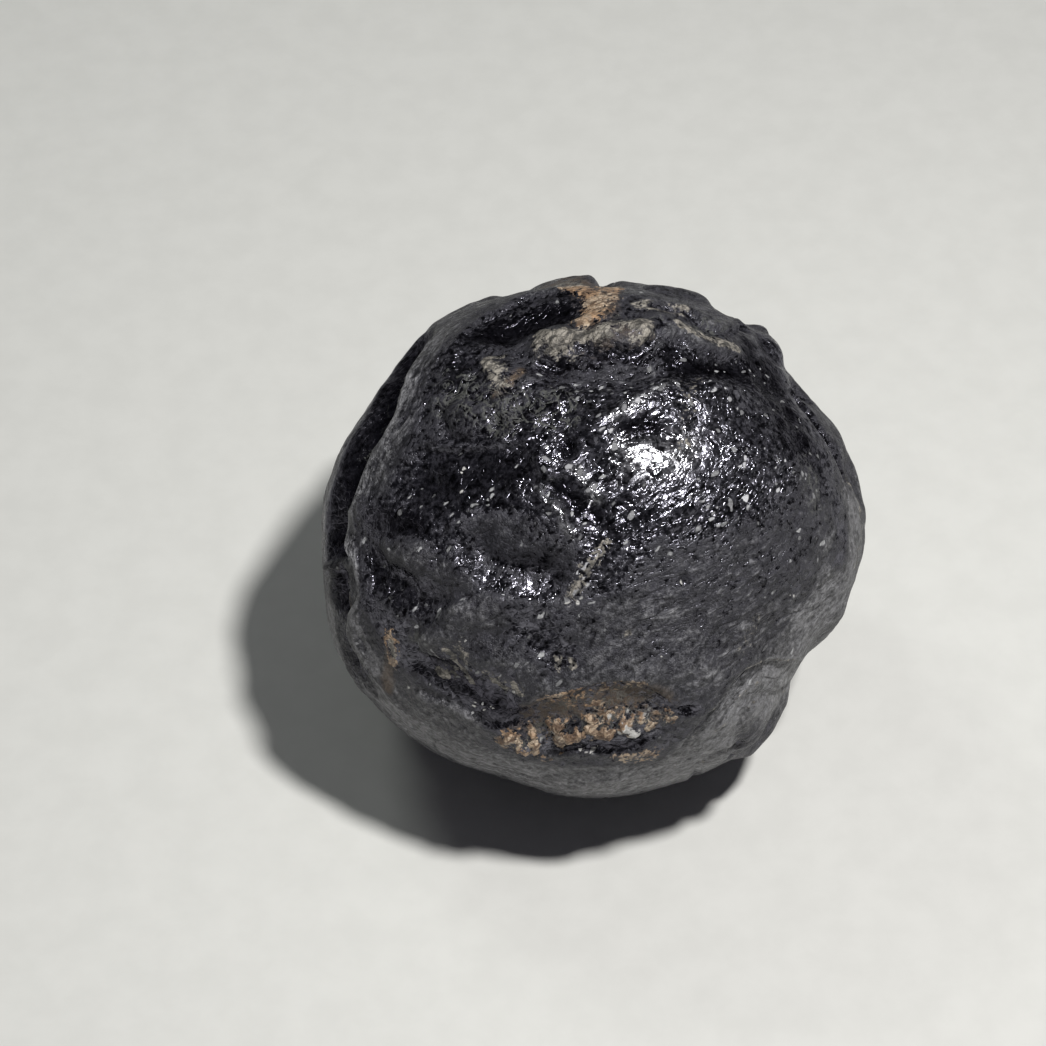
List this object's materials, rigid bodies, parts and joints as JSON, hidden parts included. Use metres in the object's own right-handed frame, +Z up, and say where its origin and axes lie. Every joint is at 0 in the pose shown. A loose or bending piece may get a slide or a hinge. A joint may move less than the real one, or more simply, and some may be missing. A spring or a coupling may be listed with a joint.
{
  "type": "native silver nodule specimen",
  "caption": "Rounded hand specimen of tarnished native metal with ledges, hollows and earth stains, resting on a small worn flat foot.",
  "frame": {"origin": "middle of the flat foot under the nodule, on the surface that it rests on", "axes": "+Z up from the foot; -Y is the side that faces the camera in the picture, and +X is to its right"},
  "size_m": [0.0376, 0.0367, 0.0354],
  "materials": {
    "tarnished_metal": "near-black pebbled tarnish with a dull gloss, greyer and matt on rims and in dusty patches, with small orange-tan earth stains"
  },
  "bodies": {
    "root": {"nodule": "tarnished_metal"}
  },
  "joints": []
}
